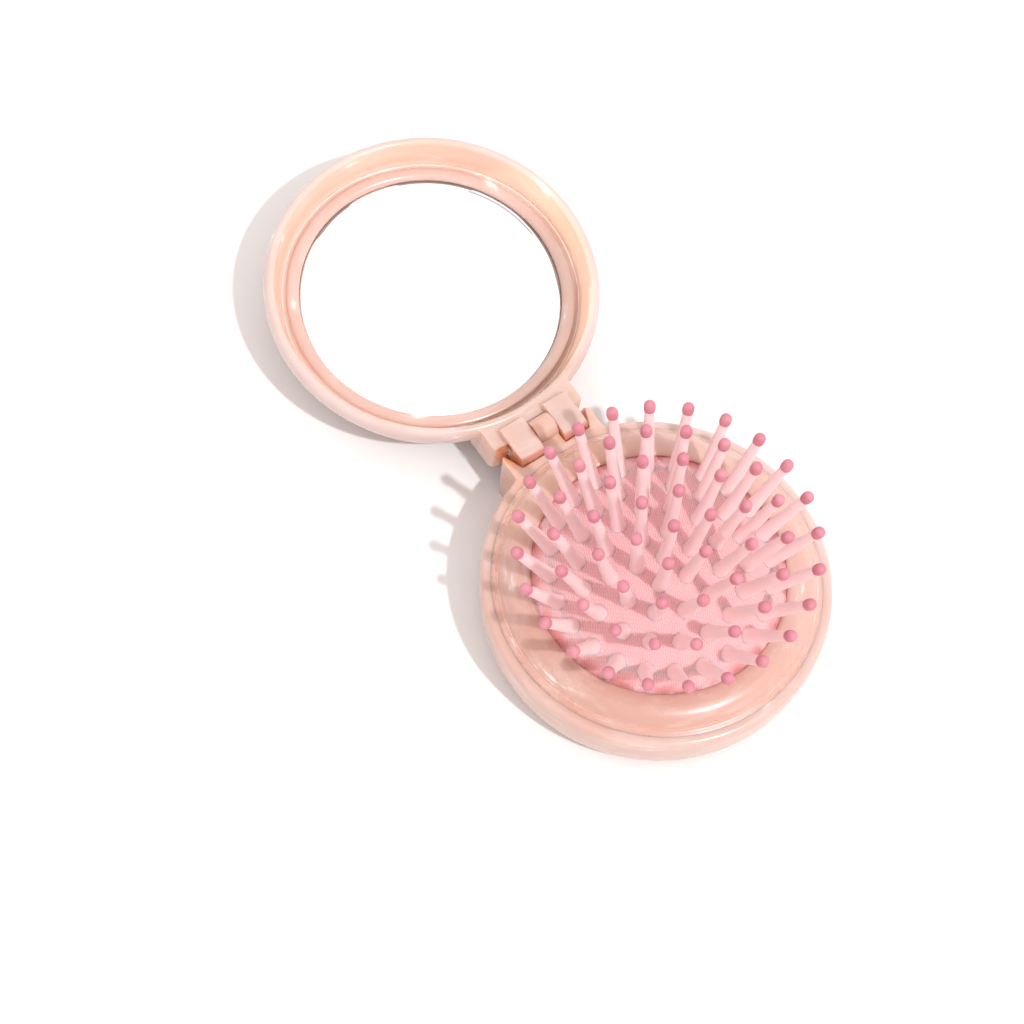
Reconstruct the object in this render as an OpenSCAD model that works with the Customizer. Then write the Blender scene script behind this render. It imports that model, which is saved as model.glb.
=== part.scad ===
// Round folding hairbrush with a mirror in its lid.
// +Z is up and the floor is z = 0. The hinge runs along X above the origin. The base with
// the pins stands in front of it, on the -Y side, and the open lid lies behind it with its
// mirror facing up. Each half is drawn round its own middle and then put in its place.

/* [Base] */
// Radius of the brush at its widest, in the base and in the lid
base_r = 34; // [31:0.5:38]
// Height of the flat ledge that the closed lid rests on
base_h = 14.3; // [14:0.1:16]
// How much smaller the radius of the flat foot is than the base's
foot_inset = 4.5; // [3:0.1:6]
// Width of the ledge, which is the thickness of the base's outer wall
base_wall = 3.1; // [2.4:0.1:3.6]
// Thickness of the base's floor
base_floor = 2; // [1.4:0.1:2.2]
// Radius of the finger hole in the base's floor
finger_hole_r = 12.5; // [11:0.5:14]

/* [Cushion and bezel] */
// Width of the bezel from the ledge in to the cushion
bezel_w = 6.4; // [6.2:0.1:7]
// Height of the cushion's edge above the ledge
cushion_edge_rise = 2.9; // [2.6:0.1:3.4]
// Rise of the popped-out cushion above its edge
cushion_rise = 7.2; // [6:0.1:8]
// Thickness of the cushion's rubber
cushion_t = 1.2; // [0.8:0.1:1.4]
// Width of the cushion's flange under the bezel
flange_w = 3.4; // [2.6:0.1:3.6]
// Rise of the bezel's crown above the cushion's edge
bezel_crown = 0.6; // [0.3:0.1:1]
// Width of the bezel's thin foot on the ledge
bezel_foot_w = 1.1; // [0.8:0.1:1.3]

/* [Pins] */
// Number of rings of pins round the middle one
pin_rings = 4; // [3:1:4]
// Pins in the innermost ring, and how many more each next ring has
pins_per_ring = 6; // [4:2:6]
// Distance of the outermost pins' feet from the cushion's edge
pin_margin = 3.49; // [3.3:0.01:4.5]
// Turn of the pattern of pins about the middle
pattern_turn = 45.6; // [40:0.1:50]
// Depth below the floor of the point that all pins point away from
fan_depth = 15.8; // [13:0.1:18]
// Distance from the top of the cushion up to the middle of the highest ball tip
pin_rise = 14.65; // [12:0.05:15]
// Radius of a ball tip
tip_r = 1.15; // [0.95:0.05:1.3]
// Length of the straight band round the middle of a ball tip
tip_band = 0.6; // [0.2:0.05:0.8]
// Radius of a pin just under its tip
pin_neck_r = 0.9; // [0.6:0.05:0.95]
// Radius of a pin where its flare begins
pin_shaft_r = 1.35; // [1:0.05:1.4]
// Radius of the flare at the foot of a pin
pin_flare_r = 1.65; // [1.6:0.05:2]
// Height of that flare
pin_flare_h = 2.5; // [1:0.1:3]
// Radius of a pin's stem where it passes through the cushion
pin_stem_r = 1.4; // [1.1:0.05:1.5]
// Radius of the head that holds a pin under the cushion
pin_head_r = 1.75; // [1.65:0.05:1.9]
// Thickness of that head
pin_head_t = 0.6; // [0.4:0.05:0.8]

/* [Button] */
// Radius of the finger button under the cushion
button_r = 7.8; // [7:0.1:8]
// Thickness of the finger button
button_t = 1.55; // [1.3:0.05:1.6]
// Depth of the hollow for the fingertip
button_dish = 0.5; // [0.3:0.1:0.6]
// Width of the plate that carries the middle pins, outside their ring
hub_rim = 2; // [1.6:0.1:2.2]
// Thickness of that plate
hub_t = 0.8; // [0.7:0.05:0.9]
// Radius of the screw that joins the button to the plate
screw_r = 0.8; // [0.6:0.05:0.9]
// Radius of the screw's head
screw_head_r = 1.6; // [1.3:0.05:1.8]
// Thickness of the screw's head
screw_head_t = 0.5; // [0.3:0.05:0.6]

/* [Lid] */
// Thickness of the lid from its lip to the middle of its back
lid_h = 14; // [13.4:0.1:14.2]
// Width of the lid's lip
lip_wall = 2.2; // [2:0.1:2.6]
// Angle that the lid's side leans in above its lip
lid_lean = 22; // [16:1:24]
// Radius of the rounding between the lid's side and its back
lid_corner = 5; // [4:0.1:6]
// Rise of the lid's domed back over its rounding
lid_crown = 1; // [0.4:0.1:1.4]
// Thickness of the lid's wall behind the mirror
lid_wall = 1.3; // [1.1:0.1:1.6]
// Angle of the open lid from the closed one
open_angle = 176.6; // [170:0.1:177]

/* [Mirror] */
// Distance from the mirror glass that shows out to the lid's lip
mirror_border = 5.05; // [4.8:0.05:7]
// Depth of the mirror below the lid's lip
mirror_depth = 6.5; // [6.4:0.1:6.8]
// Thickness of the mirror glass
mirror_t = 1.1; // [0.9:0.1:1.4]
// Width of the polished bevel round the glass
mirror_bevel = 1; // [0.6:0.1:1.5]
// Thickness of the adhesive pad behind the glass
adhesive_t = 0.4; // [0.3:0.1:0.6]
// Thickness of the tray behind the mirror
tray_t = 0.9; // [0.8:0.1:1.2]
// How much smaller the radius of the tray's seat is than the lid's mouth
tray_inset = 1.4; // [1:0.1:1.6]
// Rise of the tray's rim above the glass
tray_rim = 1.2; // [0.9:0.1:1.6]
// Width of the tray's rim round the glass
tray_rim_w = 2.6; // [2.2:0.1:3]

/* [Hinge] */
// Distance of the hinge's axis out from the side of the base
hinge_out = 4.2; // [3.8:0.1:5]
// Half the width of the hinge blocks
hinge_half_w = 10.5; // [10.2:0.1:12]
// Half the width of the middle knuckle
middle_half_w = 2.2; // [1.6:0.1:2.4]
// Width of each of the lid's two lugs
lug_w = 5.4; // [4.5:0.1:5.6]
// Radius of the middle knuckle
knuckle_r = 2.6; // [2:0.1:2.8]
// Radius of the hinge pin
hinge_pin_r = 1; // [0.8:0.05:1.2]
// How far the lugs reach past the axis
lug_reach = 4.6; // [4:0.1:4.8]
// Height of the lugs above the axis when the lid is open
lug_rise = 2; // [1.4:0.1:2.2]
// Depth of the hollow beside each lug in the base's block, along the axis
pocket_w = 1.6; // [1.2:0.1:1.7]

/* [Clearances] */
// Gap beside and round the hinge's moving pieces
hinge_gap = 0.25; // [0.2:0.05:0.35]
// Radial gap of the hinge pin in the lid's lugs
pin_gap = 0.05; // [0.02:0.01:0.1]
// Gap between pieces that are pushed together
seat_gap = 0.05; // [0.02:0.01:0.1]
// Radial gap of the bristle pins in the cushion
bristle_gap = 0.08; // [0.05:0.01:0.1]
// Gap between the closed lid's hinge block and the base's
closing_gap = 0.15; // [0.1:0.05:0.3]

/* [Hidden] */
$fn = 64;
fine_fn = 160;
pin_fn = 24;
tiny = 0.01;
peach = [0.96, 0.72, 0.63];
pink = [0.98, 0.68, 0.68];

// The sizes across follow the radius of the base, from the outside in
foot_r = base_r - foot_inset;
ledge_in_r = base_r - base_wall;
cushion_r = ledge_in_r - bezel_w;
lid_r = base_r;
lip_in_r = lid_r - lip_wall;
mirror_r = lip_in_r - mirror_border;
hinge_y = base_r + hinge_out;

// The cushion is a cap of a ball, held by a flange that the bezel presses on its seat
cushion_edge_z = base_h + cushion_edge_rise;
ball_r = (pow(cushion_r, 2) + pow(cushion_rise, 2)) / (2 * cushion_rise);
ball_z = cushion_edge_z + cushion_rise - ball_r;
cushion_skirt_r = cushion_r + 0.4;
flange_top_z = cushion_edge_z - 0.8;
flange_bottom_z = flange_top_z - cushion_t;
flange_out_r = cushion_r + flange_w;
seat_in_r = cushion_r + 0.7;
seat_top_z = flange_bottom_z - seat_gap;

// The bezel stands in the base's wall
bezel_in_r = cushion_r + 0.15;
bezel_out_r = ledge_in_r - seat_gap;
bezel_skirt = 2.8;
bezel_t = 1.4;
bezel_foot_r = bezel_out_r + bezel_foot_w;
crown_r = cushion_r + 2;

// Places along a pin, measured from the point that the pins fan out from
fan_to_ball = ball_z + fan_depth;
tip_reach = fan_depth + cushion_edge_z + cushion_rise + pin_rise;
outer_foot_r = cushion_r - pin_margin;
outer_foot_z = ball_z + sqrt(pow(ball_r, 2) - pow(outer_foot_r, 2));
ring_step = atan2(outer_foot_r, outer_foot_z + fan_depth) / pin_rings;
pin_seat = 0.15;
pin_head_drop = 0.35;
function reach_to(radius, tilt) =
    fan_to_ball * cos(tilt) + sqrt(pow(radius, 2) - pow(fan_to_ball * sin(tilt), 2));
function pin_foot(tilt) = reach_to(ball_r, tilt) + pin_seat;
function pin_head(tilt) = reach_to(ball_r - cushion_t, tilt) - pin_head_drop;

// The middle pins' plate lies flat just under the cushion
hub_r = reach_to(ball_r, ring_step) * sin(ring_step) + hub_rim;
hub_top_z = ball_z + sqrt(pow(ball_r - cushion_t - seat_gap, 2) - pow(hub_r, 2));
hub_bottom_z = hub_top_z - hub_t;
button_bottom_z = hub_bottom_z - seat_gap - button_t;

// The closed lid rests on the ledge, so its parting plane holds the hinge's axis
hinge_z = base_h;
lug_in = middle_half_w + hinge_gap;
lug_out = lug_in + lug_w;
pocket_in = lug_out + hinge_gap;
pocket_end_r = 1.2;
lug_nose_r = 1.6;
lug_below = lug_rise + 1.2;
slot_r = norm([lug_reach, lug_rise] - [lug_nose_r, lug_nose_r]) + lug_nose_r + hinge_gap;
block_face_y = hinge_y - 0.2;
block_corner = 1.5;
block_side_r = 1.8;
hinge_pin_l = 2 * lug_out - 0.8;

// Heights in the lid, measured up from its lip when it is closed
lid_widest = 2.3;
lip_w = 1.3;
lip_turn = atan(tan(lid_lean) * lid_widest / lip_w);
lip_top = [lid_r - lip_w * (1 - cos(lip_turn)), lid_widest * (1 + sin(lip_turn))];
corner_z = lid_h - lid_crown - lid_corner;
corner_r = lip_top[0] - (lid_corner + (corner_z - lip_top[1]) * sin(lid_lean)) / cos(lid_lean);
glass_r = mirror_r + 0.6;
tray_seat_r = lip_in_r - tray_inset;
tray_r = tray_seat_r - seat_gap;
tray_rim_z = mirror_depth - tray_rim;
tray_edge_z = tray_rim_z + 0.5;
tray_back_z = mirror_depth + mirror_t + adhesive_t;
tray_top_z = tray_back_z + tray_t;
shoulder_r = tray_seat_r - 1.5;

function pairs_in(ring) = ring * pins_per_ring / 2;
function pair_name(ring, pair) = str("pins_ring", ring, pair < 10 ? "_0" : "_", pair);

// Points along an ellipse about a centre, from angle a to angle b
function arc(centre, rx, ry, a, b, steps = 10) = [
    for (i = [0:steps])
        let (t = a + (b - a) * i / steps)
        centre + [rx * cos(t), ry * sin(t)]
];

// Puts a shape that is drawn round the middle of the base in its place
module on_base() {
    translate([0, -hinge_y, 0])
        children();
}

// Puts a shape that is drawn on the closed lid, with z up from its lip, on the open lid
module on_lid() {
    translate([0, 0, hinge_z])
        rotate([-open_angle, 0, 0])
            translate([0, -hinge_y, 0])
                children();
}

// Carries an outline drawn in Y and Z along X
module along_x(from, to) {
    translate([from, 0, 0])
        rotate([90, 0, 90])
            linear_extrude(to - from)
                children();
}

// A bar on the hinge's axis
module axle(radius, from, to) {
    translate([from, hinge_y, 0])
        rotate([0, 90, 0])
            cylinder(r = radius, h = to - from);
}

// ---------- base ----------

module base_outline() {
    // The side rises steeply from the foot and is upright under the ledge
    widest_z = base_h * 0.85;
    edge_r = 1.2;
    side = [
        for (i = [0:12])
            let (t = pow(i / 12, 1.5))
            [foot_r + (base_r - foot_r) * sqrt(1 - pow(1 - t, 3)), widest_z * t]
    ];
    polygon(concat(
        [[0, 0]],
        side,
        arc([base_r - edge_r, base_h - edge_r], edge_r, edge_r, 0, 90, 5),
        [[0, base_h]]
    ));
}

// Room between the outer wall and the cushion's seat, and inside the seat
module base_hollow() {
    translate([0, 0, base_floor])
        difference() {
            cylinder(r = ledge_in_r, h = base_h);
            cylinder(r = flange_out_r, h = seat_top_z - base_floor);
        }
    translate([0, 0, base_floor])
        cylinder(r = seat_in_r, h = base_h);
}

// Gives a hinge block its width and rounds the edges at the ends of its face
module block_plan() {
    corner = [hinge_half_w - block_side_r, block_face_y - block_side_r];
    intersection() {
        linear_extrude(base_h + lid_h)
            polygon(concat(
                [[hinge_half_w, 0]],
                arc(corner, block_side_r, block_side_r, 0, 90, 6),
                arc([-corner[0], corner[1]], block_side_r, block_side_r, 90, 180, 6),
                [[-hinge_half_w, 0]]
            ));
        children();
    }
}

module base_block() {
    block_plan()
        along_x(-hinge_half_w, hinge_half_w)
            polygon([
                [ledge_in_r - 2, 0],
                [block_face_y - block_corner, 0],
                [block_face_y, block_corner],
                [block_face_y, base_h - 1],
                [block_face_y - 1, base_h],
                [ledge_in_r - 2, base_h]
            ]);
}

// The base's middle knuckle, or the room round it
module knuckle(radius, side_gap = 0) {
    axle(radius, -middle_half_w - side_gap, middle_half_w + side_gap);
}

// Conical hollows beside the lugs, where the hinge pin is led in
module pockets() {
    for (side = [0, 1])
        mirror([side, 0, 0])
            translate([pocket_in - tiny, hinge_y, 0])
                rotate([0, 90, 0])
                    cylinder(r1 = slot_r, r2 = pocket_end_r, h = pocket_w);
}

module base_shell() {
    lead_in = 1;
    color(peach)
        on_base()
            difference() {
                union() {
                    rotate_extrude() base_outline();
                    base_block();
                    translate([0, 0, hinge_z]) knuckle(knuckle_r);
                }
                base_hollow();
                translate([0, 0, -tiny])
                    cylinder(r = finger_hole_r, h = base_floor + 2 * tiny);
                translate([0, 0, -tiny])
                    cylinder(r1 = finger_hole_r + lead_in, r2 = finger_hole_r, h = lead_in);
                translate([0, 0, hinge_z]) {
                    axle(slot_r, -pocket_in, -middle_half_w);
                    axle(slot_r, middle_half_w, pocket_in);
                    axle(hinge_pin_r, -pocket_in, pocket_in);
                    pockets();
                }
            }
}

module hinge_pin() {
    color("silver")
        on_base()
            translate([0, 0, hinge_z])
                axle(hinge_pin_r, -hinge_pin_l / 2, hinge_pin_l / 2);
}

// The glossy ring that slopes from the cushion down to the ledge and holds the cushion.
// A thin foot runs out on the ledge and hides the joint.
module pad_bezel() {
    foot_t = 0.3;
    fillet = 0.6;
    color(peach)
        on_base()
            rotate_extrude()
                polygon(concat(
                    [[bezel_in_r, cushion_edge_z + 0.1]],
                    arc([crown_r, cushion_edge_z], crown_r - bezel_in_r, bezel_crown, 150, 90, 4),
                    arc([crown_r, base_h], bezel_out_r - crown_r,
                        cushion_edge_rise + bezel_crown, 90, 14),
                    arc([bezel_out_r + fillet, base_h + foot_t + fillet],
                        fillet, fillet, 180, 270, 4),
                    [
                        [bezel_foot_r, base_h + 2 * seat_gap],
                        [bezel_foot_r, base_h + seat_gap],
                        [bezel_out_r, base_h + seat_gap],
                        [bezel_out_r, base_h - bezel_skirt],
                        [bezel_out_r - bezel_t, base_h - bezel_skirt],
                        [bezel_out_r - bezel_t, flange_bottom_z],
                        [flange_out_r + seat_gap, flange_top_z + seat_gap],
                        [bezel_in_r + 1, flange_top_z + seat_gap]
                    ]
                ));
}

module cushion() {
    color(pink)
        on_base()
            difference() {
                union() {
                    intersection() {
                        translate([0, 0, ball_z])
                            sphere(r = ball_r, $fn = fine_fn);
                        translate([0, 0, flange_bottom_z])
                            cylinder(r = cushion_skirt_r, h = ball_r);
                    }
                    translate([0, 0, flange_bottom_z])
                        cylinder(r = flange_out_r, h = cushion_t);
                }
                translate([0, 0, ball_z])
                    sphere(r = ball_r - cushion_t, $fn = fine_fn);
                for (ring = [0:pin_rings])
                    along_pins(ring, [1:pins_in(ring)])
                        translate([0, 0, pin_head(ring * ring_step)])
                            cylinder(r = pin_stem_r + bristle_gap, h = 3 * cushion_t, $fn = pin_fn);
            }
}

// ---------- pins ----------

function pins_in(ring) = max(1, ring * pins_per_ring);

// Puts a shape along some of a ring's pins, with Z along the pin from the fan's middle
module along_pins(ring, numbers) {
    for (i = numbers)
        translate([0, 0, -fan_depth])
            rotate([0, 0, pattern_turn + (i - 1) * 360 / pins_in(ring)])
                rotate([0, ring * ring_step, 0])
                    children();
}

// One pin turned about Z. Below the flare it is a stem that ends at z = from, in a head
// where it has one.
module bristle(tilt, from, head_r) {
    foot = pin_foot(tilt);
    flare_w = pin_flare_r - pin_shaft_r;
    rotate_extrude($fn = pin_fn)
        polygon(concat(
            [
                [0, from],
                [head_r, from],
                [head_r, from + pin_head_t],
                [pin_stem_r, from + pin_head_t],
                [pin_stem_r, foot]
            ],
            arc([pin_flare_r, foot + pin_flare_h], flare_w, pin_flare_h, 270, 180, 4),
            [[pin_neck_r, tip_reach], [0, tip_reach]]
        ));
    translate([0, 0, tip_reach - tip_band / 2]) {
        sphere(r = tip_r, $fn = pin_fn);
        cylinder(r = tip_r, h = tip_band, $fn = pin_fn);
        translate([0, 0, tip_band])
            sphere(r = tip_r, $fn = pin_fn);
    }
}

// Two neighbouring pins that tilt together as the cushion turns inside out
module pin_pair(ring, pair) {
    tilt = ring * ring_step;
    color(pink)
        on_base()
            along_pins(ring, [2 * pair - 1, 2 * pair])
                bristle(tilt, pin_head(tilt) - pin_head_t, pin_head_r);
}

// ---------- button under the cushion ----------

// The plate with the middle pin and the first ring of pins on it
module pin_hub() {
    color(pink)
        on_base()
            difference() {
                union() {
                    translate([0, 0, hub_bottom_z])
                        cylinder(r = hub_r, h = hub_t);
                    for (ring = [0:1])
                        along_pins(ring, [1:pins_in(ring)])
                            hub_bristle(ring * ring_step);
                }
                translate([0, 0, hub_bottom_z - tiny])
                    cylinder(r = screw_r, h = hub_t);
            }
}

module hub_bristle(tilt) {
    from = (hub_top_z + fan_depth - hub_t / 2) / cos(tilt);
    bristle(tilt, from, pin_stem_r);
}

module push_button() {
    edge_r = 0.5;
    dish_r = (pow(button_r - 1, 2) + pow(button_dish, 2)) / (2 * button_dish);
    color(peach)
        on_base()
            translate([0, 0, button_bottom_z])
                difference() {
                    rotate_extrude()
                        polygon(concat(
                            [[0, 0]],
                            arc([button_r - edge_r, edge_r], edge_r, edge_r, -90, 0, 4),
                            [[button_r, button_t], [0, button_t]]
                        ));
                    translate([0, 0, button_dish - dish_r])
                        sphere(r = dish_r, $fn = fine_fn);
                    cylinder(r = screw_r + seat_gap, h = 2 * button_t);
                    cylinder(r = screw_head_r + seat_gap, h = button_dish + screw_head_t);
                }
}

module button_screw() {
    head_z = button_bottom_z + button_dish;
    color("silver")
        on_base() {
            translate([0, 0, head_z])
                cylinder(r = screw_head_r, h = screw_head_t);
            translate([0, 0, head_z])
                cylinder(r = screw_r, h = hub_top_z - hub_t / 4 - head_z);
        }
}

// ---------- lid, drawn closed with z up from its lip ----------

module lid_outline() {
    polygon(concat(
        [[0, 0]],
        arc([lid_r - lip_w, lid_widest], lip_w, lid_widest, -90, lip_turn, 8),
        arc([corner_r, corner_z], lid_corner, lid_corner, lid_lean, 90, 8),
        arc([0, lid_h - lid_crown], corner_r, lid_crown, 60, 90, 4)
    ));
}

// Room inside the lid: the mouth, the tray's place and the hollow behind the tray
module lid_inside() {
    lip_edge = 0.8;
    bend = lid_corner - lid_wall;
    start = acos((shoulder_r - corner_r) / bend);
    polygon(concat(
        [[0, -tiny], [lip_in_r + lip_edge, -tiny]],
        arc([lip_in_r + lip_edge, lip_edge], lip_edge, lip_edge, 270, 180, 4),
        [
            [tray_seat_r, tray_edge_z],
            [tray_seat_r, tray_top_z + seat_gap],
            [shoulder_r, tray_top_z + seat_gap]
        ],
        arc([corner_r, corner_z], bend, bend, start, 90, 5),
        arc([0, lid_h - lid_crown - lid_wall], corner_r, lid_crown, 60, 90, 4)
    ));
}

// The two lugs that reach past the axis, with a crease where they leave the lid's lip
module lid_lugs() {
    root_y = lip_in_r + 0.3;
    crease_y = hinge_y - lug_reach + 1;
    for (from = [-lug_out, lug_in])
        along_x(from, from + lug_w)
            polygon(concat(
                [
                    [root_y, closing_gap],
                    [hinge_y - lug_reach, closing_gap],
                    [crease_y, -lug_rise]
                ],
                arc([hinge_y + lug_reach - lug_nose_r, lug_nose_r - lug_rise],
                    lug_nose_r, lug_nose_r, -90, 0, 4),
                arc([hinge_y + lug_reach - lug_below, 0], lug_below, lug_below, 0, 90, 6),
                [[root_y, lug_below]]
            ));
}

module lid_block() {
    top = corner_z + 1.5;
    block_plan()
        along_x(-hinge_half_w, hinge_half_w)
            polygon([
                [lip_in_r - 3, closing_gap],
                [block_face_y - 1, closing_gap],
                [block_face_y, closing_gap + 1],
                [block_face_y, top - 2],
                [block_face_y - 2, top],
                [lip_in_r - 3, top]
            ]);
}

module lid_shell() {
    color(peach)
        on_lid()
            difference() {
                union() {
                    difference() {
                        union() {
                            rotate_extrude() lid_outline();
                            lid_block();
                        }
                        rotate_extrude() lid_inside();
                        knuckle(knuckle_r + hinge_gap, hinge_gap);
                    }
                    lid_lugs();
                }
                axle(hinge_pin_r + pin_gap, -pocket_in, pocket_in);
            }
}

// The ring round the mirror, with a groove outside it, and the plate behind the glass
module mirror_tray() {
    groove_depth = 0.4;
    rim_out_r = mirror_r + tray_rim_w;
    groove_half_w = (tray_r - rim_out_r) / 2;
    color(peach)
        on_lid()
            rotate_extrude()
                polygon(concat(
                    [
                        [0, tray_back_z],
                        [glass_r + seat_gap, tray_back_z],
                        [glass_r + seat_gap, mirror_depth - seat_gap],
                        [mirror_r, mirror_depth - seat_gap]
                    ],
                    arc([mirror_r + 1.3, tray_rim_z + 1], 1.3, 1, 180, 270, 5),
                    arc([rim_out_r - 1, tray_edge_z], 1, tray_edge_z - tray_rim_z, 270, 350, 5),
                    arc([rim_out_r + groove_half_w, tray_edge_z],
                        groove_half_w, groove_depth, 170, 0, 8),
                    [
                        [tray_r, tray_top_z],
                        [0, tray_top_z]
                    ]
                ));
}

module mirror_glass() {
    color("white")
        on_lid()
            translate([0, 0, mirror_depth])
                rotate_extrude()
                    polygon([
                        [0, 0],
                        [glass_r - mirror_bevel, 0],
                        [glass_r, mirror_t * 0.3],
                        [glass_r, mirror_t],
                        [0, mirror_t]
                    ]);
}

module mirror_adhesive() {
    color("gray")
        on_lid()
            translate([0, 0, mirror_depth + mirror_t])
                cylinder(r = glass_r - 2, h = adhesive_t);
}

base_shell();
pad_bezel();
cushion();
hinge_pin();
push_button();
pin_hub();
button_screw();
lid_shell();
mirror_tray();
mirror_glass();
mirror_adhesive();
for (ring = [2:pin_rings], pair = [1:pairs_in(ring)])
    pin_pair(ring, pair);
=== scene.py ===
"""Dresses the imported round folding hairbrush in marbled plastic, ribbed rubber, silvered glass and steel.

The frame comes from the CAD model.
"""

import functools
import math

import bmesh
import bpy
from bpy.props import FloatProperty, FloatVectorProperty, IntProperty, PointerProperty
from bpy.types import NodeSocket, Operator, Panel, PropertyGroup
from mathutils import Matrix, Vector
from mathutils.geometry import delaunay_2d_cdt


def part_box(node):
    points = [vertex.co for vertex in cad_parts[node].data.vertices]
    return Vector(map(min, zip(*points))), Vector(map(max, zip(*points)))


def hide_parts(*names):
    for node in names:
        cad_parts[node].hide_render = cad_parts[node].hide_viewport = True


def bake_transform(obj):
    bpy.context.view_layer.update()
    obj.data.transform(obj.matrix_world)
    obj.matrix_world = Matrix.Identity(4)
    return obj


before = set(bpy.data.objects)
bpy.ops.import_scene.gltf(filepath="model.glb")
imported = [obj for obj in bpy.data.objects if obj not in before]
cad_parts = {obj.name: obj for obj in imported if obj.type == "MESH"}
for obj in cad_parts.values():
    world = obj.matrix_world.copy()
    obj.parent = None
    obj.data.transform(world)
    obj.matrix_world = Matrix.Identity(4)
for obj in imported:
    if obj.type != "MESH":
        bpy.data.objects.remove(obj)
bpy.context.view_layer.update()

bl_info = {
    "name": "Round Folding Hairbrush",
    "version": (1, 0, 0),
    "blender": (4, 5, 0),
    "location": "View3D > Sidebar > Hairbrush",
    "description": "Finishes a round folding hairbrush with a pop-out cushion and a mirror",
    "category": "Object",
}

MM = 0.001

# Middles of the two halves, in metres: the base stands upright, the lid lies open behind the hinge
BASE_LOW, BASE_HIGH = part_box("pad_bezel")
BASE_MIDDLE = Vector(((BASE_LOW.x + BASE_HIGH.x) / 2, (BASE_LOW.y + BASE_HIGH.y) / 2, 0))
GLASS_LOW, GLASS_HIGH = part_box("mirror_glass")
GLASS_MIDDLE = (GLASS_LOW + GLASS_HIGH) / 2
LID_TILT = math.radians(3.4)
PIN_LOW, PIN_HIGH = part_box("hinge_pin")
HINGE_AXIS = (PIN_LOW + PIN_HIGH) / 2

# Geometry of the shading: closer corners are welded, and edges sharper than this angle stay sharp
WELD = 0.002 * MM
SHARP_ANGLE = math.radians(32)

# The cushion's drawing: counts of steps round its circles, and the distances between its points
SKIRT_STEPS, HOLE_STEPS, FLANGE_STEPS = 240, 28, 160
SPACING = 0.62 * MM
HOLE_CLEARANCE = 0.22 * MM
EDGE_THICKNESS = 0.35 * MM
SKIRT = 0.4 * MM
FLANGE = 3.4 * MM
NECK_INSET, NECK_RISE, NECK_TOP = 0.02 * MM, 0.4 * MM, 0.55 * MM

# Rise and lean of a collar, at the pin's hole and on the collar's outer ring, and how far out each still counts
AT_HOLE, AT_RING = (1.0, 0.8), (0.22, 0.4)
HOLE_EDGE, RING_EDGE = 0.04 * MM, 0.06 * MM

# Heights at which the cushion's two shells would pass from the base's motion to the button's
MIDDLE_BLEND = (7.35 * MM, 25.4 * MM)
EDGE_BLEND_HEIGHT = 3.05 * MM

# The camera's place in metres, and its turns about Z, X and Z again in degrees
CAMERA_PLACE = (-0.141078, -0.145275, 0.414973)
CAMERA_TURNS = ((-43.22, "Z"), (90 - 65.37, "X"), (8.91, "Z"))


# ---------- sizes and colours ----------


def colour_prop(name, description, default):
    """A colour that the user can change."""
    return FloatVectorProperty(
        name=name, description=description, default=default, size=3, subtype="COLOR", min=0, max=1)


def length_prop(name, description, default, least=0.0):
    """A length that the user can change, given in millimetres."""
    return FloatProperty(
        name=name, description=description, default=default * MM, min=least * MM, unit="LENGTH")


def angle_prop(name, description, degrees):
    """An angle that the user can change."""
    return FloatProperty(name=name, description=description, default=math.radians(degrees), subtype="ANGLE")


def share_prop(name, description, default):
    """A share from 0 to 1 that the user can change."""
    return FloatProperty(name=name, description=description, default=default, min=0, max=1, subtype="FACTOR")


def number_prop(name, description, default):
    """A number without a unit that the user can change."""
    return FloatProperty(name=name, description=description, default=default, min=0)


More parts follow.
